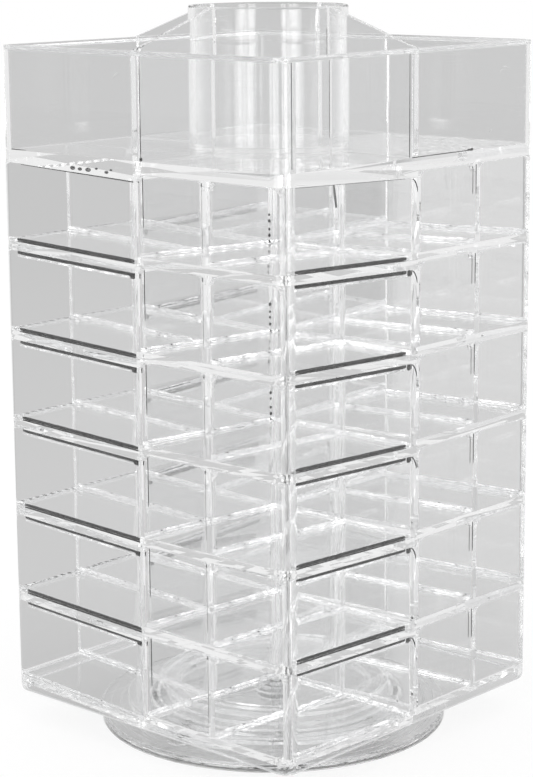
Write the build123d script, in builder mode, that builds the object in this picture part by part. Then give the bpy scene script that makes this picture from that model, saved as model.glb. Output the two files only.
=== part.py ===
from build123d import *
import os

# Rotating lipstick holder: a clear square tower of pinwheel cells on a ball-bearing turntable.
# Millimetres. +Z is up, the origin is on the table under the tower's axis.
# Each face of the tower has two cell mouths on its right half and a plain panel on its left half.

os.makedirs("parts", exist_ok=True)

# Tower
side = 149.5  # width of each face
tier_count = 6
tier_pitch = 35.8  # height from one tier to the next
corner_radius = 6.0  # upright corners of tiers, shelves and bottom slab
bond_gap = 0.08  # film of cement between bonded pieces

# Walls of a tier
skin = 2.8
cross_wall = 3.0
divider = 3.0
lintel = 0.3  # strip over each mouth
mouth_radius = 3.3  # upper corners of each mouth
cell_radius = 1.0  # upright inside corners of the cells

# Shelves: each cell's floor falls from its mouth to its back, so that the sticks stay in
shelf_thickness = 3.4
floor_fall = 2.7
mouth_rise = 0.85  # floor at the mouth, over the tier's own level

# Bottom slab
slab_height = 5.95  # underside to the level of the lowest tier
slab_floor = 3.4
slab_skirt = 2.8
slab_round = 2.0  # lower outer edge
boss_inner = 38.0  # ring that the turntable's hub is bonded to
boss_outer = 47.0

# Top tray
tray_height = 40.4  # floor to rim
tray_wall = 2.4
tray_corner = 6.5
tray_floor_rise = 0.5  # tray floor over the level of the tray
tray_underside = 4.0  # ceiling of the top cells below that level, at their mouths
partition = 2.4
rim_round = 0.6

# Cup
cup_radius = 31.2
cup_wall = 2.4
cup_floor = 2.0
cup_rise = 14.4  # cup rim over tray rim
cup_round = 0.9

# Base disc and its pads
base_radius = 70.3
base_thickness = 3.6
base_top_round = 1.4
base_bottom_round = 0.7
pad_count = 4
pad_radius = 5.0
pad_thickness = 1.2
pad_drop = 0.6  # pad below the disc
pad_ring_radius = 55.0
pad_clearance = 0.1

# Turntable disc
turntable_radius = 59.0
turntable_thickness = 2.8
turntable_gap = 1.0  # between base disc and turntable disc
turntable_round = 0.8
hub_inner = 40.0
hub_outer = 45.0
hub_height = 4.1

# Ball ring
track_radius = 50.0
ball_count = 8
ball_radius = 2.0
track_clearance = 0.3  # between each ball and the flats of its track
cage_thickness = 0.6
cage_width = 6.8
cage_clearance = 0.15

# Pivot
pin_radius = 3.0
pin_head_radius = 7.5
pin_head_thickness = 1.6
pin_head_sink = 0.2  # head above the disc's underside
pin_fit = 0.02
running_fit = 0.06
boss_radius = 9.0
boss_height = 0.8
washer_radius = 7.0
washer_thickness = 0.6
washer_clearance = 0.15
end_play = 0.1
cap_radius = 7.0
cap_thickness = 2.0
spigot_radius = 2.0

# Heights from the table up
half = side / 2
base_top = pad_drop + base_thickness
ball_level = base_top + turntable_gap / 2
track_reach = ball_radius + track_clearance  # from the centre of each ball to the flats of its track
track_sides = 8  # both tracks are cut as halves of one octagon
track_turn = 180 / track_sides  # brings a flat to the bottom
turntable_bottom = base_top + turntable_gap
turntable_top = turntable_bottom + turntable_thickness
hub_top = turntable_top + hub_height
slab_bottom = hub_top + bond_gap
tier_base = slab_bottom + slab_height
tray_level = tier_base + tier_count * tier_pitch
tray_floor_top = tray_level + tray_floor_rise
rim_top = tray_floor_top + tray_height
cup_top = rim_top + cup_rise

# Cells: two of the same width beside each other in each quarter of the plan
cell_width = (half - skin - cross_wall / 2 - divider) / 2
inner_cell = cross_wall / 2 + cell_width / 2
outer_cell = inner_cell + cell_width + divider

quarter_turns = range(4)
over = 10.0  # how far a cutting solid reaches past what it cuts
cell_length = half - cross_wall / 2 + over  # each cell is cut from the cross wall out through its mouth
cell_middle = cross_wall / 2 + cell_length / 2


def tier_level(tier):
    """Height that the floors of a tier are set out from, the lowest tier being 0."""
    return tier_base + tier * tier_pitch


def floor_line(level):
    """Heights of a cell's floor at its mouth and at its back."""
    return level + mouth_rise, level + mouth_rise - floor_fall


def lowered(line, drop):
    """A floor line moved down."""
    return line[0] - drop, line[1] - drop


def ramps(upper, lower, reach=0.0, mode=Mode.ADD):
    """Fill or cut the four quarters between two lines, each given at the mouth and at the back.

    The lines run on past the back and the side of each quarter by the reach.
    """
    past = reach * floor_fall / half
    for turn in quarter_turns:
        with BuildSketch(Plane.YZ.rotated((0, 0, 90 * turn)).offset(-reach)) as profile:
            with BuildLine():
                Polyline(
                    (-half, upper[0]),
                    (reach, upper[1] - past),
                    (reach, lower[1] - past),
                    (-half, lower[0]),
                    close=True,
                )
            make_face()
        extrude(profile.sketch, amount=half + reach, mode=mode)


def corner_edges(solid):
    """The four upright edges that lie furthest from the axis."""
    return solid.edges().filter_by(Axis.Z).group_by(lambda e: round(e.center().X**2 + e.center().Y**2))[-1]


# Anti-slip pads, let into the underside of the base disc
with BuildPart() as anti_slip_pads:
    with BuildSketch():
        with PolarLocations(pad_ring_radius, pad_count):
            Circle(pad_radius)
    extrude(amount=pad_thickness)
anti_slip_pads.part.label = "anti_slip_pads"
export_step(anti_slip_pads.part, "parts/anti_slip_pads.step")

# Base disc, which stays still on the table
head_seat = pad_drop + pin_head_sink + pin_head_thickness
with BuildPart() as base_disc:
    with BuildSketch(Plane.XY.offset(pad_drop)):
        Circle(base_radius)
    extrude(amount=base_thickness)
    fillet(base_disc.edges().sort_by(Axis.Z)[-1], base_top_round)
    fillet(base_disc.edges().sort_by(Axis.Z)[0], base_bottom_round)
    with BuildSketch(Plane.XZ):
        with Locations((track_radius, ball_level)):
            RegularPolygon(track_reach, track_sides, major_radius=False, rotation=track_turn)
    revolve(axis=Axis.Z, mode=Mode.SUBTRACT)
    with BuildSketch(Plane.XY.offset(pad_thickness + bond_gap)):
        with PolarLocations(pad_ring_radius, pad_count):
            Circle(pad_radius + pad_clearance)
    extrude(amount=-pad_thickness, mode=Mode.SUBTRACT)
    with BuildSketch(Plane.XY.offset(head_seat)):
        Circle(pin_head_radius + pad_clearance)
    extrude(amount=-base_thickness, mode=Mode.SUBTRACT)
    with BuildSketch(Plane.XY.offset(base_top)):
        Circle(pin_radius + pin_fit)
    extrude(amount=-base_thickness, mode=Mode.SUBTRACT)
base_disc.part.label = "base_disc"
export_step(base_disc.part, "parts/base_disc.step")

# Pivot pin: head under the base disc, shank through both discs, spigot for the cap
washer_bottom = turntable_top + boss_height + end_play
cap_bottom = washer_bottom + washer_thickness + end_play
with BuildPart() as pivot_pin:
    with BuildSketch(Plane.XY.offset(head_seat)):
        Circle(pin_head_radius)
    extrude(amount=-pin_head_thickness)
    with BuildSketch(Plane.XY.offset(head_seat)):
        Circle(pin_radius)
    extrude(amount=cap_bottom - head_seat)
    with BuildSketch(Plane.XY.offset(cap_bottom)):
        Circle(spigot_radius)
    extrude(amount=cap_thickness)
pivot_pin.part.label = "pivot_pin"
export_step(pivot_pin.part, "parts/pivot_pin.step")

# Thrust washer, which takes the lift when the tower is picked up
with BuildPart() as thrust_washer:
    with BuildSketch(Plane.XY.offset(washer_bottom)):
        Circle(washer_radius)
        Circle(pin_radius + washer_clearance, mode=Mode.SUBTRACT)
    extrude(amount=washer_thickness)
thrust_washer.part.label = "thrust_washer"
export_step(thrust_washer.part, "parts/thrust_washer.step")

# Cap cemented on the spigot, which keeps the two discs together
with BuildPart() as retaining_cap:
    with BuildSketch(Plane.XY.offset(cap_bottom)):
        Circle(cap_radius)
        Circle(spigot_radius + pin_fit, mode=Mode.SUBTRACT)
    extrude(amount=cap_thickness)
retaining_cap.part.label = "retaining_cap"
export_step(retaining_cap.part, "parts/retaining_cap.step")

# Ball ring: balls in a flat cage, which follows the tower at half its speed
with BuildPart() as bearing_balls:
    with Locations((0, 0, ball_level)):
        with PolarLocations(track_radius, ball_count):
            Sphere(ball_radius)
bearing_balls.part.label = "bearing_balls"
export_step(bearing_balls.part, "parts/bearing_balls.step")

with BuildPart() as ball_cage:
    with BuildSketch(Plane.XY.offset(ball_level - cage_thickness / 2)):
        Circle(track_radius + cage_width / 2)
        Circle(track_radius - cage_width / 2, mode=Mode.SUBTRACT)
        with PolarLocations(track_radius, ball_count):
            Circle(ball_radius + cage_clearance, mode=Mode.SUBTRACT)
    extrude(amount=cage_thickness)
ball_cage.part.label = "ball_cage"
export_step(ball_cage.part, "parts/ball_cage.step")

# Turntable disc: upper ball track below, hub ring bonded to the slab above
with BuildPart() as turntable_disc:
    with BuildSketch(Plane.XY.offset(turntable_bottom)):
        Circle(turntable_radius)
    extrude(amount=turntable_thickness)
    fillet(turntable_disc.edges().sort_by(Axis.Z)[-1], turntable_round)
    with BuildSketch(Plane.XZ):
        with Locations((track_radius, ball_level)):
            RegularPolygon(track_reach, track_sides, major_radius=False, rotation=track_turn)
    revolve(axis=Axis.Z, mode=Mode.SUBTRACT)
    with BuildSketch(Plane.XY.offset(turntable_top)):
        Circle(hub_outer)
        Circle(hub_inner, mode=Mode.SUBTRACT)
    extrude(amount=hub_height)
    with BuildSketch(Plane.XY.offset(turntable_top)):
        Circle(boss_radius)
    extrude(amount=boss_height)
    with BuildSketch(Plane.XY.offset(turntable_bottom)):
        Circle(pin_radius + running_fit)
    extrude(amount=turntable_thickness + boss_height, mode=Mode.SUBTRACT)
turntable_disc.part.label = "turntable_disc"
export_step(turntable_disc.part, "parts/turntable_disc.step")

# Hollow under the bottom slab: everything inside its skirt except the ring for the turntable's hub
lowest_floor = floor_line(tier_base)
with BuildPart() as slab_hollow:
    with BuildSketch(Plane.XY.offset(slab_bottom)):
        RectangleRounded(side - 2 * slab_skirt, side - 2 * slab_skirt, corner_radius - slab_skirt)
        Circle(boss_outer, mode=Mode.SUBTRACT)
        Circle(boss_inner)
    extrude(amount=slab_height)
    ramps(lowered(lowest_floor, slab_floor - over), lowered(lowest_floor, slab_floor), mode=Mode.SUBTRACT)

# Bottom slab: the floors of the lowest cells, a skirt round them and a ring for the turntable's hub
with BuildPart() as bottom_slab:
    with BuildSketch(Plane.XY.offset(slab_bottom)):
        RectangleRounded(side, side, corner_radius)
    extrude(amount=slab_height + mouth_rise)
    fillet(bottom_slab.edges().group_by(Axis.Z)[0], slab_round)
    ramps(lowered(lowest_floor, -over), lowest_floor, mode=Mode.SUBTRACT)
    add(slab_hollow.part, mode=Mode.SUBTRACT)
bottom_slab.part.label = "bottom_slab"
export_step(bottom_slab.part, "parts/bottom_slab.step")


def build_tier(tier, ceiling):
    """Walls of one tier, standing on the floors below and reaching to a ceiling line above."""
    floor = lowered(floor_line(tier_level(tier)), -bond_gap)
    arch_top = ceiling[0] - lintel
    with BuildPart() as walls:
        with BuildSketch(Plane.XY.offset(floor[1])):
            RectangleRounded(side, side, corner_radius)
            with PolarLocations(0, len(quarter_turns)):
                with Locations((inner_cell, -cell_middle), (outer_cell, -cell_middle)):
                    RectangleRounded(cell_width, cell_length, cell_radius, mode=Mode.SUBTRACT)
        extrude(amount=ceiling[0] - floor[1])
        for turn in quarter_turns:
            with BuildSketch(Plane.XZ.rotated((0, 0, 90 * turn)).offset(half)) as front:
                with Locations((0, floor[1])):
                    Rectangle(half - skin / 2, ceiling[0] - floor[1], align=Align.MIN)
                with Locations((inner_cell, floor[1]), (outer_cell, floor[1])):
                    mouth_height = arch_top - floor[1]
                    Rectangle(cell_width, mouth_height, align=(Align.CENTER, Align.MIN), mode=Mode.SUBTRACT)
                fillet(front.vertices().group_by(Axis.Y)[1], mouth_radius)
            extrude(front.sketch, amount=-skin)
        with BuildSketch(Plane.XY.offset(floor[1])) as outline:
            RectangleRounded(side, side, corner_radius)
        extrude(outline.sketch, amount=ceiling[0] - floor[1], mode=Mode.INTERSECT)
        ramps(floor, lowered(floor, over), bond_gap, mode=Mode.SUBTRACT)
        ramps(lowered(ceiling, -over), ceiling, bond_gap, mode=Mode.SUBTRACT)
    return walls.part


# Tiers, the lowest first. The ceiling of each is the underside of the shelf above it
for tier in range(tier_count):
    if tier < tier_count - 1:
        ceiling_line = lowered(floor_line(tier_level(tier + 1)), shelf_thickness + bond_gap)
    else:
        ceiling_line = tray_level - tray_underside - bond_gap, tray_level - tray_underside - floor_fall - bond_gap
    tier_walls = build_tier(tier, ceiling_line)
    tier_walls.label = f"tier_walls_{tier + 1}"
    export_step(tier_walls, f"parts/tier_walls_{tier + 1}.step")

# Shelf plates between the tiers
for tier in range(1, tier_count):
    shelf_floor = floor_line(tier_level(tier))
    with BuildPart() as shelf_plate:
        ramps(shelf_floor, lowered(shelf_floor, shelf_thickness))
        fillet(corner_edges(shelf_plate), corner_radius)
    shelf_plate.part.label = f"shelf_plate_{tier}"
    export_step(shelf_plate.part, f"parts/shelf_plate_{tier}.step")

# Top tray: flat floor over sloped cell ceilings, rounded corners, four partitions that climb to the cup
tray_ceiling = tray_level - tray_underside, tray_level - tray_underside - floor_fall
with BuildPart() as top_tray:
    with BuildSketch(Plane.XY.offset(tray_ceiling[1])):
        RectangleRounded(side, side, tray_corner)
    extrude(amount=rim_top - tray_ceiling[1])
    with BuildSketch(Plane.XY.offset(tray_floor_top)):
        RectangleRounded(side - 2 * tray_wall, side - 2 * tray_wall, tray_corner - tray_wall)
    extrude(amount=tray_height, mode=Mode.SUBTRACT)
    fillet(top_tray.faces().sort_by(Axis.Z)[-1].edges(), rim_round)
    ramps(tray_ceiling, lowered(tray_ceiling, over), mode=Mode.SUBTRACT)
    for turn in quarter_turns:
        with BuildSketch(Plane.YZ.rotated((0, 0, 90 * turn))):
            with BuildLine():
                Polyline(
                    (tray_wall / 2 - half, tray_floor_top),
                    (tray_wall / 2 - half, rim_top),
                    (-cup_radius, cup_top),
                    (cup_wall - cup_radius, cup_top),
                    (cup_wall - cup_radius, tray_floor_top),
                    close=True,
                )
            make_face()
        extrude(amount=partition / 2, both=True)
    with BuildSketch(Plane.XY.offset(tray_floor_top)):
        Circle(cup_radius + bond_gap)
    extrude(amount=tray_height + cup_rise, mode=Mode.SUBTRACT)
top_tray.part.label = "top_tray"
export_step(top_tray.part, "parts/top_tray.step")

# Cup in the middle of the tray
cup_bottom = tray_floor_top + bond_gap
with BuildPart() as center_cup:
    with BuildSketch(Plane.XY.offset(cup_bottom)):
        Circle(cup_radius)
    extrude(amount=cup_top - cup_bottom)
    with BuildSketch(Plane.XY.offset(cup_bottom + cup_floor)):
        Circle(cup_radius - cup_wall)
    extrude(amount=cup_top - cup_bottom - cup_floor, mode=Mode.SUBTRACT)
    fillet(center_cup.faces().sort_by(Axis.Z)[-1].edges(), cup_round)
center_cup.part.label = "center_cup"
export_step(center_cup.part, "parts/center_cup.step")
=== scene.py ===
import math
import random

import bmesh
import bpy
from bpy.props import FloatProperty, FloatVectorProperty, IntProperty, PointerProperty
from mathutils import Matrix, Vector


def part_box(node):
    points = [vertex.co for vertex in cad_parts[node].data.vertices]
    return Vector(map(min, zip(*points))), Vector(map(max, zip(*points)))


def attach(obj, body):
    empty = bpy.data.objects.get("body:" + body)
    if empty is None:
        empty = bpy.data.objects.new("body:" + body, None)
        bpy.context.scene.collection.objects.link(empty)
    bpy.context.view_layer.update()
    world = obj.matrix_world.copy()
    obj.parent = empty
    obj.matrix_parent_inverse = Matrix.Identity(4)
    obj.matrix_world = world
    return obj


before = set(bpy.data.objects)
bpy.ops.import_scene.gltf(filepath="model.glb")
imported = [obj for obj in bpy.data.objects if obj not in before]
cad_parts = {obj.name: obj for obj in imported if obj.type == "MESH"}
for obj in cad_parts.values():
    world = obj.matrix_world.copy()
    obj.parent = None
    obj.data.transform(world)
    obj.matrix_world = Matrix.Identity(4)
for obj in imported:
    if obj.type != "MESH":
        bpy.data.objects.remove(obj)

bl_info = {
    "name": "Rotating lipstick holder",
    "version": (1, 0, 0),
    "blender": (4, 5, 0),
    "location": "View3D > Sidebar > Holder",
    "description": "Dresses the clear rotating lipstick holder and sets up its studio",
    "category": "Object",
}

MM = 0.001
SHELVES = [f"shelf_plate_{n}" for n in range(1, 6)]
TIERS = [f"tier_walls_{n}" for n in range(1, 7)]
CLEAR_NODES = ["base_disc", "turntable_disc", "bottom_slab", *TIERS, *SHELVES]
TRAY_NODES = ["top_tray", "center_cup"]
BEARING_NODES = ["pivot_pin", "thrust_washer", "retaining_cap", "ball_cage"]
QUARTER_TURNS = 4
LEFT, RIGHT = 0, 1  # the two sides in the photo, as quarter turns from the left one
UPWARDS = Vector((0.0, 0.0, 1.0))

# The tower
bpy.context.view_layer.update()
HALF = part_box("shelf_plate_1")[1].x  # from the axis to each face
SKIN = 2.8 * MM
CROSS = 3.0 * MM  # each wall that crosses on the axis
DIVIDER = 3.0 * MM
FALL = 2.7 * MM  # of each cell's floor, from the face to the axis
CELL_WIDTH = (HALF - SKIN - CROSS / 2 - DIVIDER) / 2
INNER_CELL = (CROSS / 2, CROSS / 2 + CELL_WIDTH)
OUTER_CELL = (HALF - SKIN - CELL_WIDTH, HALF - SKIN)
MOUTH_POST = OUTER_CELL[0] - DIVIDER / 2  # middle of the post between two mouths

# The tray
TRAY_WALL = 2.4 * MM
TRAY_PARTITION = 2.4 * MM
TRAY_CORNER = 6.5 * MM
TRAY_FLOOR = 233.43 * MM
TRAY_RIM = 273.83 * MM
TRAY_FACE = TRAY_WALL + 0.15 * MM  # depth of the lines on the walls' inner faces
CUP_RADIUS = 31.2 * MM  # outside

# Lines behind the panels. The dark ones are painted shade: they stand for the shade that the clear plastic
# shows along the shelves' joints
LINE_START = HALF - 7.6 * MM  # from the axis
LINE_ENDS = (5.0 * MM, 2.6 * MM, 3.4 * MM, 1.6 * MM)  # from the axis, on each side from the right one on
LINE_FILM = 0.02 * MM  # between a line and the panel
LINE_GAP = 0.05 * MM  # between a line and the floor or ceiling
LINE_UNEVEN = 0.05
LINE_TIP = 0.75  # share of the line's height that is left at its ends
CLEAR_SIDE = 1  # counted from the right one. Its lines are clear: none shows through the right mouths
EDGE_GAP = 0.1 * MM  # between a ceiling line and the clear bead under it
EDGE_TALL = 0.9 * MM
DROP_UNDER = 1.35 * MM  # from the ceiling's lowest part down to the drop at the line's end
DROP = ((1.7, 1.7), (2.2, 2.6), (3.6, 2.6), (4.2, 1.9))  # in mm: distance from the axis, height

# Coves round the cells' floors
COVE_START = 1.0 * MM  # behind the face
COVE_FILM = 0.05 * MM  # between a cove and its wall
COVE_LINE_FILM = 0.06 * MM  # between a cove and the cement line before its wall
COVE_LIFT = 0.03 * MM  # over the floor
COVE_UNEVEN = 0.08
COVE_BENDS = (0, 30, 60, 90)  # in degrees, the corners of its hollow face

# Dark marks on the posts and where the walls cross: lines of painted shade at the walls' edges, streaks, and
# bubbles painted dark for the shade they show
MARK_THICK = 0.2 * MM
POST_LINES = (  # side, place along it, depth, start as a share of the cell's height, width
    (LEFT, 2.0 * MM, 2.95 * MM, 0.35, 0.45 * MM),
    (LEFT, MOUTH_POST - DIVIDER / 2 - 0.35 * MM, 0.4 * MM, 0.15, 0.45 * MM),
    (RIGHT, MOUTH_POST, 2.0 * MM, 0.6, 0.55 * MM),
)
POST_LINE_END = 1.0 * MM  # under the ceiling
HOOK_DEPTH = 1.2 * MM
HOOK = (  # in mm: place along the right side, height over the drop's middle, width
    (-2.6, 1.0, 0.3), (-1.5, 0.3, 0.5), (-0.6, -0.9, 0.6), (0.1, -2.4, 0.6), (0.4, -4.0, 0.3),
)
AXIS_STREAK_DEPTH = HALF - 1.8 * MM
AXIS_STREAK = (  # in mm: place along the left side, height over the table, width
    (32.0, 221.0, 0.9), (32.5, 217.0, 1.3), (33.3, 212.0, 1.0),
)
BUBBLE_TIER = 4  # the lowest tier with bubbles
BUBBLE_COUNT = 5
BUBBLE_COLUMN = (1.75 * MM, HALF - 3.8 * MM)  # place along the left side, depth
BUBBLE_FOOT, BUBBLE_STEP = 0.8, 2.7  # in mm: from the floor to the lowest one, and from each to the next

# Marks on the tray. Its dark lines paint the shade at the posts, round the floor and under the ceiling
TRAY_UPRIGHTS = (  # side, place along it, depth, foot over the floor, end over the rim, width below and above
    (LEFT, 2.8 * MM, TRAY_FACE, 0.3 * MM, -2.0 * MM, 0.6 * MM, 0.25 * MM),
    (RIGHT, -3.6 * MM, TRAY_FACE, 0.3 * MM, -2.0 * MM, 0.6 * MM, 0.25 * MM),
    (RIGHT, -HALF + 6.5 * MM, TRAY_FACE, 1.5 * MM, -2.0 * MM, 0.08 * MM, 0.08 * MM),
    (RIGHT, -1.6 * MM, HALF - CUP_RADIUS - 0.3 * MM, 5.0 * MM, 6.0 * MM, 0.3 * MM, 0.2 * MM),
)
TRAY_LEVELS = (  # side, start, end, height over the floor, height of the line at its start and end
    (LEFT, -HALF + 6.0 * MM, -HALF + 14.0 * MM, 0.3 * MM, 0.4 * MM, 0.2 * MM),
    (RIGHT, -2.0 * MM, 33.0 * MM, 0.2 * MM, 0.35 * MM, 0.35 * MM),
    (RIGHT, 31.5 * MM, 35.0 * MM, 0.4 * MM, 0.7 * MM, 1.0 * MM),
)
# Lines of painted shade under the tray: start, end, distance under the ceiling, height at the start and the
# end
LEFT_CEILING_LINE = (-HALF + 11.0 * MM, -1.5 * MM, 0.5 * MM, 0.35 * MM, 0.8 * MM)
RIGHT_CEILING_LINE = (-HALF + 8.0 * MM, -6.0 * MM, 0.35 * MM, 0.3 * MM, 0.3 * MM)
# Drop on the tray's floor: place along the left side, depth, height
TRAY_DROP = (2.6 * MM, TRAY_FACE + 0.3 * MM, TRAY_FLOOR + 0.8 * MM)
TRAY_DROP_SIZE = 1.2 * MM
TRAY_BUBBLE_DEPTH = 1.6 * MM
TRAY_BUBBLES = (  # in mm: place along the left side, size
    (-33.5, 2.6), (-29.5, 2.2), (-25.0, 2.8), (-20.5, 1.5), (-15.0, 2.0), (-12.5, 1.4),
)
TRAY_SCRATCHES = (  # in mm: side, place along it, height over the table, length, rise
    (LEFT, -9.4, 264.7, 2.6, 2.0),
    (RIGHT, 55.5, 264.0, 3.4, -0.6),
    (RIGHT, 52.5, 262.6, 1.6, 0.9),
    (RIGHT, 46.0, 240.1, 1.6, 0.8),
)
SCRATCH_WIDTHS = (0.1 * MM, 0.3 * MM, 0.25 * MM, 0.1 * MM)
SCRATCH_THICK = 0.08 * MM
SCRATCH_DEPTH = TRAY_WALL + 0.05 * MM
SCRATCH_BEND = 0.25  # in mm
POST_BEAD = 0.8 * MM
POST_BEAD_GAP = 0.45 * MM  # from the partition's face to the bead's middle
POST_BEAD_DEPTH = TRAY_WALL + 0.4 * MM
POST_BEAD_ENDS = (TRAY_FLOOR + 0.2 * MM, TRAY_RIM - 2.5 * MM)
LIP_DROP = 1.3 * MM  # from the rim to the middle of its soft inner edge
LIP_TALL = 1.2 * MM
LIP_WIDE = 0.3 * MM
LIP_FILM = 0.1 * MM  # between it and the wall

# Rings of the base disc: a grey ring of painted shade at its lower edge, and clear ripples on its top
RING_INWARDS = 0.45 * MM
RING_LEVEL = 1.15 * MM  # over the disc's underside
RING_TALL, RING_WIDE = 0.9 * MM, 0.25 * MM
RIPPLES_INWARDS = (4.6 * MM, 8.2 * MM, 8.9 * MM)
RIPPLE_SINK = 0.05 * MM
RIPPLE_TALL, RIPPLE_WIDE = 0.3 * MM, 0.45 * MM

# The picture
PICTURE_HEIGHT = 777  # in pixels
CAMERA_SHIFT = (-4.351, -31.135)  # in pixels, right and up
# The floor's glow through the panes is painted in greys by these places, with painted shade where the panes
# overlap.
LEFT_MOUTHS = (-0.065, -0.055)  # where they begin, as metres to the right for each metre ahead
LEFT_SHADE = (-0.03, 0.012)  # where the panes behind them overlap and darken
RIGHT_MOUTHS = (0.048, 0.062)


class HolderPlasticSettings(bpy.types.PropertyGroup):
    """Colours and finish of the plastics."""

    clear_colour: FloatVectorProperty(
        name="Clear plastic", description="Tint of the clear acrylic",
        subtype="COLOR", size=3, min=0.0, max=1.0, default=(0.985, 0.986, 0.987),
    )
    clear_index: FloatProperty(
        name="Refraction", description="Index of refraction of the clear acrylic",
        default=1.49, min=1.0, max=2.0,
    )
    ripple: FloatProperty(
        name="Flow ripple", description="Depth of the moulding ripple in the panes",
        subtype="DISTANCE", default=0.00002, min=0.0,
    )
    bearing_colour: FloatVectorProperty(
        name="Bearing plastic", description="Colour of cage, pin, washer and cap",
        subtype="COLOR", size=3, min=0.0, max=1.0, default=(0.96, 0.965, 0.97),
    )
    ball_colour: FloatVectorProperty(
        name="Balls", description="Colour of the bearing balls",
        subtype="COLOR", size=3, min=0.0, max=1.0, default=(0.88, 0.88, 0.86),
    )
    pad_colour: FloatVectorProperty(
        name="Pads", description="Colour of the anti-slip pads",
        subtype="COLOR", size=3, min=0.0, max=1.0, default=(0.86, 0.86, 0.86),
    )


class HolderSeamSettings(bpy.types.PropertyGroup):
    """Seams along the shelves: dark lines of painted shade at the joints, and clear cement."""

    # The seam line's colour is painted shade: near-black where the clear joint shows shade.
    shade_line_colour: FloatVectorProperty(
        name="Seam line", description="Colour of the dark cement line",
        subtype="COLOR", size=3, min=0.0, max=1.0, default=(0.004, 0.004, 0.0045),
    )
    floor_line: FloatProperty(
        name="Floor line", description="Height of the seam line along each floor",
        subtype="DISTANCE", default=0.00130, min=0.0,
    )
    ceiling_line: FloatProperty(
        name="Ceiling line", description="Height of the seam line along each ceiling",
        subtype="DISTANCE", default=0.00175, min=0.0,
    )
    thickness: FloatProperty(
        name="Thickness", description="Thickness of the cement lines",
        subtype="DISTANCE", default=0.0003, min=0.0,
    )
    cove: FloatProperty(
        name="Cove size", description="Reach of the clear cement from each corner",
        subtype="DISTANCE", default=0.0013, min=0.0,
    )
    seed: IntProperty(
        name="Seed", description="Seed of the cement's unevenness and of its bubbles",
        default=7, min=0,
    )


class HolderStageSettings(bpy.types.PropertyGroup):
    """Camera, floor and light."""

    camera_azimuth: FloatProperty(
        name="Azimuth", description="Camera's turn round the tower",
        subtype="ANGLE", default=math.radians(42.3415),
    )
    camera_pitch: FloatProperty(
        name="Pitch", description="Camera's tilt downwards",
        subtype="ANGLE", default=math.radians(11.1353),
    )
    camera_roll: FloatProperty(
        name="Roll", description="Camera's roll",
        subtype="ANGLE", default=math.radians(-0.4428),
    )
    camera_distance: FloatProperty(
        name="Distance", description="Camera's distance from the tower's axis",
        subtype="DISTANCE", default=0.86664,
    )
    camera_height: FloatProperty(
        name="Height", description="Camera's height over the table",
        subtype="DISTANCE", default=0.31928,
    )
    focal_length: FloatProperty(
        name="Focal length", description="In millimetres, on a frame 24 mm high",
        default=68.1713, min=1.0,
    )
    floor_radius: FloatProperty(
        name="Floor", description="Radius of the floor",
        subtype="DISTANCE", default=2.4, min=0.1,
    )
    # The floor glows in these greys through the panes: painted light and shade.
    backdrop_grey: FloatProperty(
        name="Backdrop", description="Grey that shows straight through the clear panes",
        default=0.50, min=0.0, max=1.0,
    )
    floor_right: FloatProperty(
        name="Right floor", description="Grey that shows straight through the right side's mouths",
        default=0.69, min=0.0, max=1.0,
    )
    tray_grey: FloatProperty(
        name="Tray grey", description="Grey that shows straight through the tray",
        default=0.562, min=0.0, max=1.0,
    )
    shelf_grey: FloatProperty(
        name="Shelf shine", description="Brightness that the cells' floors mirror",
        default=0.60, min=0.0, max=1.0,
    )
    edge_white: FloatProperty(
        name="Edge light", description="Brightness that reaches the eye through edges and corners",
        default=0.85, min=0.0, max=1.0,
    )
    edge_dark: FloatProperty(
        name="Edge shade", description="Brightness of the steepest paths through edges and corners",
        default=0.6, min=0.0, max=1.0,
    )
    panel_power: FloatProperty(
        name="Light panels", description="Power of each of the two upright light panels",
        subtype="POWER", default=3.2, min=0.0,
    )
    top_power: FloatProperty(
        name="Top light", description="Power of the soft lamp overhead",
        subtype="POWER", default=3.0, min=0.0,
    )


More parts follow.
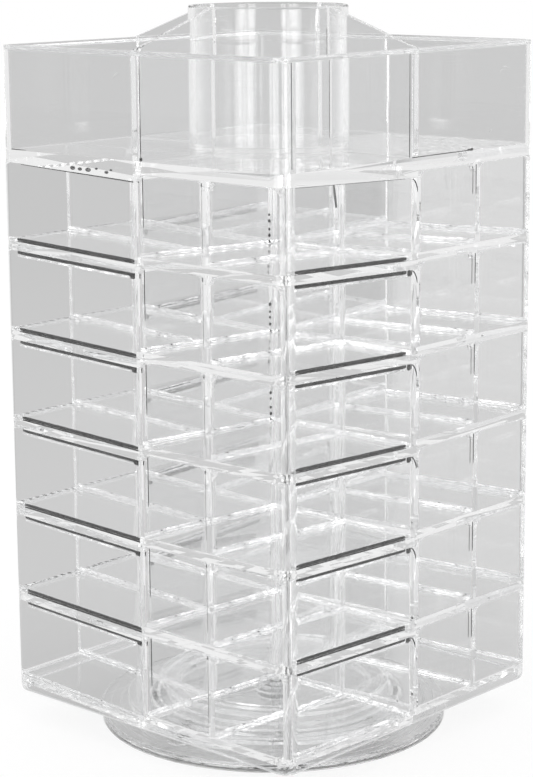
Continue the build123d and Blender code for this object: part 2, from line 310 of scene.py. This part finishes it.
class Nodes:
    """Short way to add and join the nodes of one node tree."""

    def __init__(self, tree):
        self.tree = tree
        tree.nodes.clear()

    def add(self, kind, settings=None, **inputs):
        """A new node, with its settings and its inputs by name."""
        node = self.tree.nodes.new("ShaderNode" + kind)
        for name, value in (settings or {}).items():
            setattr(node, name, value)
        for name, value in inputs.items():
            self.put(node.inputs[name], value)
        return node

    def put(self, socket, value):
        """Join an output to a socket, or set the socket's value."""
        if isinstance(value, bpy.types.NodeSocket):
            self.tree.links.new(value, socket)
        else:
            socket.default_value = value

    def math(self, operation, *values):
        """The output of one sum."""
        node = self.tree.nodes.new("ShaderNodeMath")
        node.operation = operation
        for socket, value in zip(node.inputs, values):
            self.put(socket, value)
        return node.outputs[0]

    def blend(self, factor, a, b):
        """From a, at factor 0, to b, at factor 1."""
        node = self.tree.nodes.new("ShaderNodeMix")
        node.data_type = "FLOAT"
        self.put(node.inputs[0], factor)
        self.put(node.inputs[2], a)
        self.put(node.inputs[3], b)
        return node.outputs[0]

    def span(self, value, low, high, to_low=0.0, to_high=1.0, smooth=False):
        """A value between low and high, spread from to_low to to_high."""
        node = self.tree.nodes.new("ShaderNodeMapRange")
        if smooth:
            node.interpolation_type = "SMOOTHSTEP"
        for socket, put in zip(node.inputs, (value, low, high, to_low, to_high)):
            self.put(socket, put)
        return node.outputs[0]

    def noise(self, place, scale, detail, **inputs):
        """An even noise over a place."""
        return self.add("TexNoise", Vector=place, Scale=scale, Detail=detail, **inputs).outputs["Fac"]

    def tone(self, factor, low_at, high_at, low_colour, high_colour):
        """A colour that changes from one to the other between two values of the factor."""
        node = self.add("ValToRGB", Fac=factor)
        low, high = node.color_ramp.elements
        low.position, high.position = low_at, high_at
        low.color = (*low_colour, 1.0)
        high.color = (*high_colour, 1.0)
        return node.outputs[0]

    def finish(self, shader, out_kind="OutputMaterial"):
        """Show the shader."""
        self.put(self.add(out_kind).inputs["Surface"], shader.outputs[0])


def material(name):
    """A new material and the maker of its nodes."""
    made = bpy.data.materials.new(name)
    made.use_nodes = True
    return made, Nodes(made.node_tree)


def clear_plastic(name, settings, scratches):
    """Clear acrylic: faint flow ripples from the mould, a little dust and hairline scratches."""
    made, nodes = material(name)
    place = nodes.add("TexCoord").outputs["Object"]
    flow = nodes.add("Mapping", Vector=place, Scale=(26.0, 26.0, 9.0)).outputs[0]
    ripple = nodes.noise(flow, 1.0, 1.5, Roughness=0.4)
    bump = nodes.add("Bump", Strength=1.0, Distance=settings.ripple, Height=ripple).outputs[0]
    if scratches:
        hair = nodes.add("Mapping", Vector=place, Scale=(90.0, 90.0, 420.0), Rotation=(0.5, 0.3, 0.9))
        cracks = nodes.add("TexVoronoi", {"feature": "DISTANCE_TO_EDGE"}, Vector=hair.outputs[0], Scale=1.0)
        thin = nodes.span(cracks.outputs["Distance"], 0.0, 0.012, 1.0, 0.0)
        rare = nodes.span(nodes.noise(place, 45.0, 2.0), 0.66, 0.70)
        mask = nodes.math("MULTIPLY", thin, rare)
        bump = nodes.add("Bump", Strength=0.5, Distance=0.03 * MM, Height=mask, Normal=bump).outputs[0]
    dust = nodes.span(nodes.noise(place, 2600.0, 1.0), 0.74, 0.80, 0.0, 0.12)
    shader = nodes.add("BsdfPrincipled", Roughness=dust, Normal=bump, IOR=settings.clear_index)
    shader.inputs["Base Color"].default_value = (*settings.clear_colour, 1.0)
    shader.inputs["Transmission Weight"].default_value = 1.0
    nodes.finish(shader)
    return made


def moulded_plastic(name, colour, milkiness, roughness, grain_scale):
    """Moulded plastic with a fine grain: milky ones let some light through."""
    made, nodes = material(name)
    place = nodes.add("TexCoord").outputs["Object"]
    grain = nodes.noise(place, grain_scale, 3.0)
    clouded = [c * 0.93 for c in colour]
    bump = nodes.add("Bump", Strength=0.4, Distance=0.03 * MM, Height=grain).outputs[0]
    rough = nodes.span(grain, 0.3, 0.7, roughness, roughness + 0.1)
    shader = nodes.add("BsdfPrincipled", Roughness=rough, Normal=bump)
    clouds = nodes.noise(place, 120.0, 2.0)
    nodes.put(shader.inputs["Base Color"], nodes.tone(clouds, 0.3, 0.7, clouded, colour))
    shader.inputs["Transmission Weight"].default_value = milkiness
    nodes.finish(shader)
    return made


def cement(name, colour, pale):
    """Painted shade for dark lines, rings and bubbles in the clear plastic: the given colour, paler in
    streaks.
    """
    made, nodes = material(name)
    place = nodes.add("TexCoord").outputs["Object"]
    streak = nodes.add("Mapping", Vector=place, Scale=(160.0, 160.0, 1400.0)).outputs[0]
    spots = nodes.noise(streak, 1.0, 2.0)
    bump = nodes.add("Bump", Strength=0.3, Distance=0.05 * MM, Height=spots).outputs[0]
    rough = nodes.span(spots, 0.4, 0.8, 0.25, 0.45)
    shader = nodes.add("BsdfPrincipled", Roughness=rough, Normal=bump)
    nodes.put(shader.inputs["Base Color"], nodes.tone(spots, 0.58, 0.78, colour, pale))
    shader.inputs["Specular IOR Level"].default_value = 0.2
    nodes.finish(shader)
    return made


def piece(name, bm, finish, body):
    """Turn a bmesh into a finished piece that rides on a body."""
    bmesh.ops.remove_doubles(bm, verts=bm.verts, dist=1e-7)
    bmesh.ops.recalc_face_normals(bm, faces=bm.faces)
    mesh = bpy.data.meshes.new(name)
    bm.to_mesh(mesh)
    bm.free()
    mesh.shade_smooth()
    mesh.materials.append(finish)
    made = bpy.data.objects.new(name, mesh)
    bpy.context.scene.collection.objects.link(made)
    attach(made, body)


def turned(turn):
    """Quarter turns round the tower's axis."""
    return Matrix.Rotation(math.radians(90 * turn), 3, "Z")


def on_side(turn, x, depth, z):
    """Place on a side: x to the right of its middle as seen from outside, depth behind its face, z over
    the table. The turn counts quarter turns from the left side in the photo."""
    return turned(turn) @ Vector((x, depth - HALF, z))


def rightwards(turn):
    """Direction along a side, to the right as seen from outside."""
    return turned(turn) @ Vector((1.0, 0.0, 0.0))


def even_steps(start, end, steps):
    """Numbers that change evenly from start to end."""
    return [start + (end - start) * step / steps for step in range(steps + 1)]


def oval(centre, along, tall, wide, up):
    """Placing of an oval section that faces along a direction."""
    across = up.cross(along).normalized()
    rise = along.cross(across).normalized()
    turn = Matrix((across, rise, along.normalized())).transposed().to_4x4()
    return Matrix.Translation(centre) @ turn @ Matrix.Diagonal((wide / 2, tall / 2, 1.0, 1.0))


def sweep(bm, end, places):
    """Draw a face, which stands at the first place, on through all the others. The face of each step stays
    inside."""
    for last, place in zip(places, places[1:]):
        made = bmesh.ops.extrude_face_region(bm, geom=[end])["geom"]
        end = next(part for part in made if isinstance(part, bmesh.types.BMFace))
        bmesh.ops.transform(bm, matrix=place @ last.inverted(), verts=end.verts)


def bead(bm, centres, talls, wide, segments=8, up=UPWARDS):
    """A bead of cement with an oval section, drawn through its centres. It is tall along the up vector."""
    places = []
    for index, centre in enumerate(centres):
        before, after = centres[max(index - 1, 0)], centres[min(index + 1, len(centres) - 1)]
        places.append(oval(centre, after - before, talls[index], wide, up))
    start = bmesh.ops.create_circle(bm, cap_ends=True, segments=segments, radius=1.0, matrix=places[0])
    sweep(bm, start["verts"][0].link_faces[0], places)


def upright(bm, turn, x, depth, low, high, wide_low, wide_high):
    """An upright line that faces out of its side, with a thin foot."""
    centres = [on_side(turn, x, depth, z) for z in even_steps(low, high, 8)]
    widths = even_steps(wide_low, wide_high, 8)
    widths[0] *= 0.5
    bead(bm, centres, widths, MARK_THICK, up=rightwards(turn))


def bubble(bm, centre, size, stretch=1.3):
    """A small bubble in the cement, by default taller than wide."""
    shape = Matrix.Translation(centre) @ Matrix.Diagonal((1.0, 1.0, stretch, 1.0))
    bmesh.ops.create_icosphere(bm, subdivisions=2, radius=size / 2, matrix=shape)


def cove(bm, start, end, wall, size, rng, steps=10):
    """A hollow-faced fillet of cement along a straight corner. The wall it leans on lies on the side that
    the wall vector points to."""
    along = (end - start).normalized()
    across = -wall.normalized()
    up = along.cross(across)
    if up.z < 0:
        up = -up
    turn = Matrix((across, up, along)).transposed().to_4x4()
    places = []
    for step in range(steps + 1):
        reach = size * (1 + COVE_UNEVEN * rng.uniform(-1, 1))
        centre = Matrix.Translation(start.lerp(end, step / steps))
        places.append(centre @ turn @ Matrix.Diagonal((reach, reach, 1.0, 1.0)))
    section = [Vector((0.0, 0.0, 0.0))]
    for bend in COVE_BENDS:
        angle = math.radians(bend)
        section.append(Vector((1 - math.sin(angle), 1 - math.cos(angle), 0.0)))
    sweep(bm, bm.faces.new([bm.verts.new(places[0] @ point) for point in section]), places)


def plastics():
    """The scene's plastic settings."""
    return bpy.context.scene.holder_plastics


def seams():
    """The scene's seam settings."""
    return bpy.context.scene.holder_seams


def dress(names, finish):
    """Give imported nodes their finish."""
    for name in names:
        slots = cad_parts[name].data.materials
        slots.clear()
        slots.append(finish)


class HOLDER_OT_plastics(bpy.types.Operator):
    """Finish the clear walls, shelves, tray, cup and discs, and the bearing's pieces"""

    bl_idname = "holder.plastics"
    bl_label = "Plastics"

    def execute(self, context):
        settings = plastics()
        dress(CLEAR_NODES, clear_plastic("clear acrylic", settings, scratches=False))
        dress(TRAY_NODES, clear_plastic("clear acrylic of the tray", settings, scratches=True))
        for names, finish, colour, milkiness, roughness, grain_scale in (
            (BEARING_NODES, "bearing plastic", settings.bearing_colour, 1.0, 0.08, 1500.0),
            (["bearing_balls"], "ball plastic", settings.ball_colour, 0.2, 0.15, 2500.0),
            (["anti_slip_pads"], "pad rubber", settings.pad_colour, 0.6, 0.45, 3000.0),
        ):
            dress(names, moulded_plastic(finish, colour, milkiness, roughness, grain_scale))
        return {"FINISHED"}


class HOLDER_OT_seams(bpy.types.Operator):
    """Lay the two lines behind each shelf's panels, dark ones that paint the shade at the joint but clear
    ones on one side, with a clear bead under the upper one
    """

    bl_idname = "holder.seams"
    bl_label = "Shelf seams"

    def execute(self, context):
        settings = seams()
        # Painted shade: near-black lines behind the panels, where the clear joints show shade.
        dark = cement("seam painted shade", settings.shade_line_colour, pale=(0.05, 0.05, 0.05))
        clear = clear_plastic("clear line cement", plastics(), scratches=False)
        rng = random.Random(settings.seed)
        for shelf in SHELVES:
            low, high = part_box(shelf)
            ceiling = low.z + FALL
            edge = ceiling - settings.ceiling_line - EDGE_GAP
            lines, edges = bmesh.new(), bmesh.new()
            for turn, end in enumerate(LINE_ENDS):
                seam = edges if turn == CLEAR_SIDE else lines
                self.line(seam, turn, high.z, settings.floor_line, end, rng)
                self.line(seam, turn, ceiling, -settings.ceiling_line, end, rng)
                self.drop(seam, turn, ceiling - FALL - DROP_UNDER)
                self.line(edges, turn, edge, -EDGE_TALL, end, rng)
            piece(f"seam_shade_lines_{shelf[-1]}", lines, dark, "tower")
            piece(f"seam_edges_{shelf[-1]}", edges, clear, "tower")
        return {"FINISHED"}

    def place(self, turn, along, height):
        """Place of a line's middle, at a distance along a side. The turn counts from the right side."""
        inner = HALF - SKIN - seams().thickness / 2 - LINE_FILM
        return turned(turn) @ Vector((inner, -along, height))

    def line(self, bm, turn, level, height, end, rng, steps=28):
        """A bead along one side, over a floor or, with the height negative, under it."""
        centres, talls = [], []
        for step in range(steps + 1):
            along = LINE_START + (end - LINE_START) * step / steps
            fallen = (HALF - along) * FALL / HALF
            middle = level - fallen + height / 2 + math.copysign(LINE_GAP, height)
            centres.append(self.place(turn, along, middle))
            tip = LINE_TIP if step in (0, steps) else 1.0
            talls.append(abs(height) * (1 + LINE_UNEVEN * rng.uniform(-1, 1)) * tip)
        bead(bm, centres, talls, seams().thickness)

    def drop(self, bm, turn, height):
        """The thick end of the line under a floor, close to the cross wall: dark painted shade, but clear on
        the clear side.
        """
        centres = [self.place(turn, along * MM, height) for along, tall in DROP]
        bead(bm, centres, [tall * MM for along, tall in DROP], seams().thickness)


class HOLDER_OT_coves(bpy.types.Operator):
    """Run a clear cove of cement round the floor of each cell"""

    bl_idname = "holder.coves"
    bl_label = "Coves"

    def execute(self, context):
        finish = clear_plastic("clear cement", plastics(), scratches=False)
        rng = random.Random(seams().seed + 1)
        behind_line = seams().thickness + COVE_LINE_FILM
        for tier, floor in enumerate(["bottom_slab", *SHELVES], start=1):
            mouth_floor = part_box(floor)[1].z
            bm = bmesh.new()
            for turn in range(QUARTER_TURNS):
                self.cell(bm, turn, INNER_CELL, COVE_FILM, mouth_floor, rng)
                self.cell(bm, turn, OUTER_CELL, behind_line, mouth_floor, rng)
            piece(f"cell_coves_{tier}", bm, finish, "tower")
        return {"FINISHED"}

    def cell(self, bm, turn, cell, right_film, mouth_floor, rng):
        """Three coves of one cell: both sides and the back."""
        left, right = cell[0] + COVE_FILM, cell[1] - right_film
        mouth, back = COVE_START, HALF - CROSS / 2 - COVE_FILM
        for start, end, wall in (
            ((left, mouth), (left, back), (-1, 0, 0)),
            ((left, back), (right, back), (0, 1, 0)),
            ((right, mouth), (right, back), (1, 0, 0)),
        ):
            corners = [on_side(turn, x, depth, self.floor(mouth_floor, depth)) for x, depth in (start, end)]
            cove(bm, *corners, turned(turn) @ Vector(wall), seams().cove, rng)

    def floor(self, mouth_floor, depth):
        """Height of a cove on a cell's floor, at a depth behind the face."""
        return mouth_floor - depth * FALL / HALF + COVE_LIFT


class HOLDER_OT_marks(bpy.types.Operator):
    """Lay the fine dark lines of painted shade and the dark bubbles on the posts and the tray, its scratches
    and its soft edges
    """

    bl_idname = "holder.marks"
    bl_label = "Joint marks"

    def execute(self, context):
        rng = random.Random(seams().seed + 2)
        # Painted shade: near-black lines where the walls' edges show shade, and bubbles made dark for the
        # shade they show.
        dark = cement("joint painted shade", colour=(0.03, 0.03, 0.03), pale=(0.3, 0.3, 0.3))
        floors = [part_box(name)[1].z for name in ("bottom_slab", *SHELVES)]
        ceilings = [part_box(name)[0].z + FALL for name in (*SHELVES, "top_tray")]
        for tier, (floor, ceiling) in enumerate(zip(floors, ceilings), start=1):
            bm = bmesh.new()
            for turn, x, depth, start, width in POST_LINES:
                foot = floor + (ceiling - floor) * start
                upright(bm, turn, x, depth, foot, ceiling - POST_LINE_END, width, width)
            self.streak(bm, RIGHT, HOOK_DEPTH, HOOK, ceiling - FALL - DROP_UNDER)
            if tier == len(TIERS):
                self.streak(bm, LEFT, AXIS_STREAK_DEPTH, AXIS_STREAK, 0.0)
            if tier >= BUBBLE_TIER:
                self.bubble_column(bm, floor - FALL, rng)
            piece(f"post_lines_{tier}", bm, dark, "tower")
        self.tray_lines(ceilings[-1], dark)
        self.tray_bubbles(ceilings[-1], rng)
        self.tray_scratches()
        self.tray_edges()
        return {"FINISHED"}

    def streak(self, bm, turn, depth, points, height):
        """A bent dark streak through points on a side, which are counted from a height."""
        centres = [on_side(turn, x * MM, depth, height + z * MM) for x, z, width in points]
        bead(bm, centres, [width * MM for x, z, width in points], MARK_THICK, up=rightwards(turn))

    def bubble_column(self, bm, floor, rng):
        """Bubbles over each other where the walls cross."""
        x, depth = BUBBLE_COLUMN
        for step in range(BUBBLE_COUNT):
            height = (BUBBLE_FOOT + BUBBLE_STEP * step + rng.uniform(-0.5, 0.5)) * MM
            bubble(bm, on_side(LEFT, x, depth, floor + height), rng.uniform(0.8, 1.2) * MM)

    def tray_lines(self, ceiling, dark):
        """Dark lines of painted shade round the tray's floor and posts."""
        bm = bmesh.new()
        for turn, x, depth, foot, end, wide_low, wide_high in TRAY_UPRIGHTS:
            upright(bm, turn, x, depth, TRAY_FLOOR + foot, TRAY_RIM + end, wide_low, wide_high)
        for turn, start, end, height, tall_start, tall_end in TRAY_LEVELS:
            centres = [on_side(turn, x, TRAY_FACE, TRAY_FLOOR + height) for x in even_steps(start, end, 12)]
            bead(bm, centres, even_steps(tall_start, tall_end, 12), MARK_THICK)
        self.ceiling_line(bm, LEFT, ceiling, *LEFT_CEILING_LINE)
        bubble(bm, on_side(LEFT, *TRAY_DROP), TRAY_DROP_SIZE)
        piece("tray_shade_marks", bm, dark, "tower")

    def tray_bubbles(self, ceiling, rng):
        """Bubbles in the cement under the tray's left side, painted grey for the shade they show, and the
        pale line of painted shade under its right side.
        """
        bm = bmesh.new()
        self.ceiling_line(bm, RIGHT, ceiling, *RIGHT_CEILING_LINE)
        for x, size in TRAY_BUBBLES:
            fallen = (HALF + x * MM) * FALL / HALF
            height = ceiling + (0.7 + rng.uniform(-0.5, 1.0)) * MM - fallen / 2
            bubble(bm, on_side(LEFT, x * MM, TRAY_BUBBLE_DEPTH, height), size * MM, stretch=0.6)
        # Painted shade: grey for the bubbles and for the pale line under the tray.
        grey = cement("tray bubbles", colour=(0.2, 0.2, 0.2), pale=(0.5, 0.5, 0.5))
        piece("tray_bubbles", bm, grey, "tower")

    def tray_scratches(self):
        """Short bent scratches on the tray's inner faces."""
        bm = bmesh.new()
        for turn, x, height, long, rise in TRAY_SCRATCHES:
            centres = []
            for share in (0.0, 0.35, 0.7, 1.0):
                along = x + long * (share - 0.5)
                z = height + rise * (share - 0.5) + SCRATCH_BEND * math.sin(math.pi * share)
                centres.append(on_side(turn, along * MM, SCRATCH_DEPTH, z * MM))
            bead(bm, centres, SCRATCH_WIDTHS, SCRATCH_THICK)
        colour = (0.95, 0.95, 0.95)
        white = moulded_plastic("scratch white", colour, milkiness=0.0, roughness=0.5, grain_scale=4000.0)
        piece("tray_scratches", bm, white, "tower")

    def tray_edges(self):
        """Clear beads beside the two front partitions, and the soft inner edge of the rim."""
        bm = bmesh.new()
        for turn in (LEFT, RIGHT):
            for hand in (-1, 1):
                x = hand * (TRAY_PARTITION / 2 + POST_BEAD_GAP)
                upright(bm, turn, x, POST_BEAD_DEPTH, *POST_BEAD_ENDS, POST_BEAD, POST_BEAD)
        self.lip(bm, TRAY_RIM - LIP_DROP)
        clear = clear_plastic("clear tray cement", plastics(), scratches=False)
        piece("tray_edges", bm, clear, "tower")

    def ceiling_line(self, bm, turn, ceiling, start, end, under, tall_start, tall_end):
        """A line of painted shade under the tray, from start to end along a side. It falls towards the axis
        with the top cells' ceiling."""
        centres = []
        for x in even_steps(start, end, 20):
            height = ceiling - under - (HALF + x) * FALL / HALF
            centres.append(on_side(turn, x, SKIN + MARK_THICK, height))
        bead(bm, centres, even_steps(tall_start, tall_end, 20), MARK_THICK)

    def lip(self, bm, height):
        """The soft inner edge of the tray's rim, all round. It ends where it starts."""
        inside = HALF - TRAY_WALL - LIP_FILM
        bend = TRAY_CORNER - TRAY_WALL - LIP_FILM
        centres = []
        for turn in range(QUARTER_TURNS):
            middle = turned(turn) @ Vector((inside - bend, bend - inside, height))
            for step in range(7):
                angle = math.radians(90 * turn - 90 + 15 * step)
                centres.append(middle + Vector((bend * math.cos(angle), bend * math.sin(angle), 0.0)))
        centres.append(centres[0])
        bead(bm, centres, [LIP_TALL] * len(centres), LIP_WIDE)


class HOLDER_OT_ring(bpy.types.Operator):
    """Draw the grey ring of painted shade that stands for the base disc's darker lower edge, and the faint
    ripples on its top
    """

    bl_idname = "holder.ring"
    bl_label = "Base ring"

    def execute(self, context):
        low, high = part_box("base_disc")
        # Painted shade: a grey ring inside the disc's lower edge, where the clear rim shows shade.
        shade = cement("edge shade", colour=(0.52, 0.52, 0.52), pale=(0.65, 0.65, 0.65))
        bm = bmesh.new()
        self.ring(bm, high.x - RING_INWARDS, low.z + RING_LEVEL, RING_TALL, RING_WIDE)
        piece("base_shade_ring", bm, shade, "base")
        bm = bmesh.new()
        for inwards in RIPPLES_INWARDS:
            self.ring(bm, high.x - inwards, high.z - RIPPLE_SINK, RIPPLE_TALL, RIPPLE_WIDE)
        clear = clear_plastic("clear ripples", plastics(), scratches=False)
        piece("base_ripples", bm, clear, "base")
        return {"FINISHED"}

    def ring(self, bm, radius, height, tall, wide, steps=128):
        """A bead that runs all round the axis."""
        angles = [2 * math.pi * step / steps for step in range(steps + 1)]
        centres = [Vector((radius * math.cos(angle), radius * math.sin(angle), height)) for angle in angles]
        bead(bm, centres, [tall] * len(centres), wide, segments=6)


class HOLDER_OT_stage(bpy.types.Operator):
    """Set up the camera, the floor, the backdrop and the soft lamps"""

    bl_idname = "holder.stage"
    bl_label = "Studio"

    def execute(self, context):
        settings = context.scene.holder_stage
        scene = context.scene
        scene.view_settings.view_transform = "Standard"
        scene.cycles.max_bounces = 160
        scene.cycles.transmission_bounces = 80
        scene.cycles.glossy_bounces = 120
        scene.cycles.transparent_max_bounces = 24
        self.set_camera(scene, settings)
        self.lay_floor(scene, settings)
        self.hang_backdrop(scene, settings)
        away, height = 1.02, 0.42
        for name, offset in (("left light panel", -34.0), ("right light panel", 34.0)):
            angle = settings.camera_azimuth + math.radians(offset)
            place = (away * math.sin(angle), -away * math.cos(angle), height)
            aim = (0.0, 0.0, height)
            self.place_lamp(scene, name, place, size=(0.5, 0.8), power=settings.panel_power, aim=aim)
        overhead, aim = (-0.2, -0.3, 1.9), (0.0, 0.0, 0.15)
        self.place_lamp(scene, "top lamp", overhead, size=(1.2, 1.2), power=settings.top_power, aim=aim)
        return {"FINISHED"}

    def set_camera(self, scene, settings):
        """Camera fitted to the photo's view."""
        pitch, roll = settings.camera_pitch, settings.camera_roll
        level_ahead, right = self.directions(settings)
        place = level_ahead * -settings.camera_distance + UPWARDS * settings.camera_height
        ahead = level_ahead * math.cos(pitch) - UPWARDS * math.sin(pitch)
        up = right.cross(ahead)
        rolled_right = right * math.cos(roll) + up * math.sin(roll)
        rolled_up = up * math.cos(roll) - right * math.sin(roll)
        lens = bpy.data.cameras.new("camera")
        camera = bpy.data.objects.new("camera", lens)
        scene.collection.objects.link(camera)
        turn = Matrix((rolled_right, rolled_up, -ahead)).transposed().to_4x4()
        camera.matrix_world = Matrix.Translation(place) @ turn
        lens.sensor_fit = "VERTICAL"
        lens.sensor_height = 24.0
        lens.lens = settings.focal_length
        lens.shift_x, lens.shift_y = [pixels / PICTURE_HEIGHT for pixels in CAMERA_SHIFT]
        lens.clip_start = 0.01
        scene.camera = camera

    def directions(self, settings):
        """Level directions from the camera: ahead to the tower's axis, and to the right."""
        azimuth = settings.camera_azimuth
        ahead = Vector((-math.sin(azimuth), math.cos(azimuth), 0.0))
        return ahead, Vector((math.cos(azimuth), math.sin(azimuth), 0.0))

    def grey_by_path(self, nodes, straight, bounced):
        """Brightness that a ray meets outside the object. The eye sees white. A ray that went straight
        through the panes meets one grey, and one that bounced in them another. One that lights a surface
        meets a bright white."""
        path = nodes.add("LightPath")
        has_bounced = nodes.math("GREATER_THAN", path.outputs["Glossy Depth"], 0.5)
        lights_surface = nodes.math("GREATER_THAN", path.outputs["Diffuse Depth"], 0.5)
        met = nodes.blend(lights_surface, nodes.blend(has_bounced, straight, bounced), 1.05)
        return nodes.blend(path.outputs["Is Camera Ray"], met, 1.0)

    def along(self, nodes, place, direction):
        """How far a place lies along a direction."""
        node = nodes.add("VectorMath", {"operation": "DOT_PRODUCT"}, Vector=place)
        node.inputs[1].default_value = direction
        return node.outputs["Value"]

    def painted_floor_grey(self, nodes, place, settings):
        """Painted light and shade: the grey glow that shows straight through the panes. It changes with the
        distance ahead of the camera, and from left to right where the left mouths, the panes behind them and
        the right mouths begin."""
        ahead, right = self.directions(settings)
        far = nodes.math("ADD", self.along(nodes, place, ahead), settings.camera_distance)
        side = nodes.math("DIVIDE", self.along(nodes, place, right), far)
        left_grey, right_grey = settings.backdrop_grey, settings.floor_right
        panel = nodes.span(far, 1.1, 2.2, left_grey * 1.03, left_grey * 0.95)
        # Painted shade: a darker glow where the panes behind the left mouths overlap.
        shade = nodes.blend(nodes.span(side, *LEFT_SHADE, smooth=True), 0.96, 0.74)
        left_mouth = nodes.math("MULTIPLY", panel, shade)
        left = nodes.blend(nodes.span(side, *LEFT_MOUTHS, smooth=True), panel, left_mouth)
        right_mouth = nodes.span(far, 0.9, 2.2, right_grey * 0.9, right_grey * 0.955)
        grey = nodes.blend(nodes.span(side, *RIGHT_MOUTHS, smooth=True), left, right_mouth)
        return nodes.math("MULTIPLY", grey, nodes.span(far, 0.82, 1.05, 0.9, 1.0))

    def lay_floor(self, scene, settings):
        """Pale floor: white to the eye but for the object's shadow, and a glow of painted greys through the
        panes.
        """
        bm = bmesh.new()
        bmesh.ops.create_circle(bm, cap_ends=True, segments=96, radius=settings.floor_radius)
        mesh = bpy.data.meshes.new("floor")
        bm.to_mesh(mesh)
        bm.free()
        floor = bpy.data.objects.new("floor", mesh)
        scene.collection.objects.link(floor)
        made, nodes = material("pale floor")
        place = nodes.add("TexCoord").outputs["Object"]
        pale = nodes.span(nodes.noise(place, 40.0, 3.0), 0.3, 0.7, 0.95, 0.97)
        grey = nodes.add("CombineColor", Red=pale, Green=pale, Blue=pale).outputs[0]
        matt = nodes.add("BsdfDiffuse", Color=grey)
        glow = self.grey_by_path(nodes, self.painted_floor_grey(nodes, place, settings), settings.edge_white)
        light = nodes.add("Emission", Color=(1.0, 1.0, 1.0, 1.0), Strength=glow)
        mixed = nodes.add("MixShader", Fac=0.88)
        nodes.put(mixed.inputs[1], matt.outputs[0])
        nodes.put(mixed.inputs[2], light.outputs[0])
        nodes.finish(mixed)
        mesh.materials.append(made)

    def hang_backdrop(self, scene, settings):
        """White backdrop all round, with the greys that the clear plastic shows."""
        world = bpy.data.worlds.new("studio")
        scene.world = world
        world.use_nodes = True
        nodes = Nodes(world.node_tree)
        direction = nodes.add("SeparateXYZ", Vector=nodes.add("TexCoord").outputs["Generated"])
        up = direction.outputs["Z"]
        level = nodes.span(up, 0.03, 0.13, settings.edge_white, settings.shelf_grey, smooth=True)
        mirrored = nodes.blend(nodes.span(up, 0.38, 0.52, smooth=True), level, settings.edge_white)
        steep = nodes.span(up, 0.6, 0.85, smooth=True)
        shown = self.grey_by_path(nodes, settings.tray_grey, nodes.blend(steep, mirrored, settings.edge_dark))
        back = nodes.add("Background", Color=(1.0, 1.0, 1.0, 1.0), Strength=shown)
        nodes.finish(back, "OutputWorld")

    def place_lamp(self, scene, name, place, size, power, aim):
        """A rectangular soft lamp."""
        data = bpy.data.lights.new(name, "AREA")
        data.shape = "RECTANGLE"
        data.size, data.size_y = size
        data.energy = power
        lamp = bpy.data.objects.new(name, data)
        scene.collection.objects.link(lamp)
        lamp.location = place
        lamp.rotation_euler = (Vector(aim) - Vector(place)).to_track_quat("-Z", "Y").to_euler()


class HOLDER_PT_panel(bpy.types.Panel):
    """The holder's pieces and studio"""

    bl_idname = "HOLDER_PT_panel"
    bl_label = "Lipstick holder"
    bl_space_type = "VIEW_3D"
    bl_region_type = "UI"
    bl_category = "Holder"

    def draw(self, context):
        layout = self.layout
        for operator in OPERATORS:
            layout.operator(operator.bl_idname)
        for name in GROUPS:
            group = getattr(context.scene, name)
            box = layout.box()
            for setting in group.__annotations__:
                box.prop(group, setting)


GROUPS = {
    "holder_plastics": HolderPlasticSettings,
    "holder_seams": HolderSeamSettings,
    "holder_stage": HolderStageSettings,
}
OPERATORS = [
    HOLDER_OT_plastics,
    HOLDER_OT_seams,
    HOLDER_OT_coves,
    HOLDER_OT_marks,
    HOLDER_OT_ring,
    HOLDER_OT_stage,
]


def register():
    for cls in (*GROUPS.values(), *OPERATORS, HOLDER_PT_panel):
        bpy.utils.register_class(cls)
    for name, group in GROUPS.items():
        setattr(bpy.types.Scene, name, PointerProperty(type=group))


def unregister():
    for name in GROUPS:
        delattr(bpy.types.Scene, name)
    for cls in reversed((*GROUPS.values(), *OPERATORS, HOLDER_PT_panel)):
        bpy.utils.unregister_class(cls)


def main():
    register()
    bpy.ops.holder.plastics()
    bpy.ops.holder.seams()
    bpy.ops.holder.coves()
    bpy.ops.holder.marks()
    bpy.ops.holder.ring()
    bpy.ops.holder.stage()


if __name__ == "__main__":
    main()
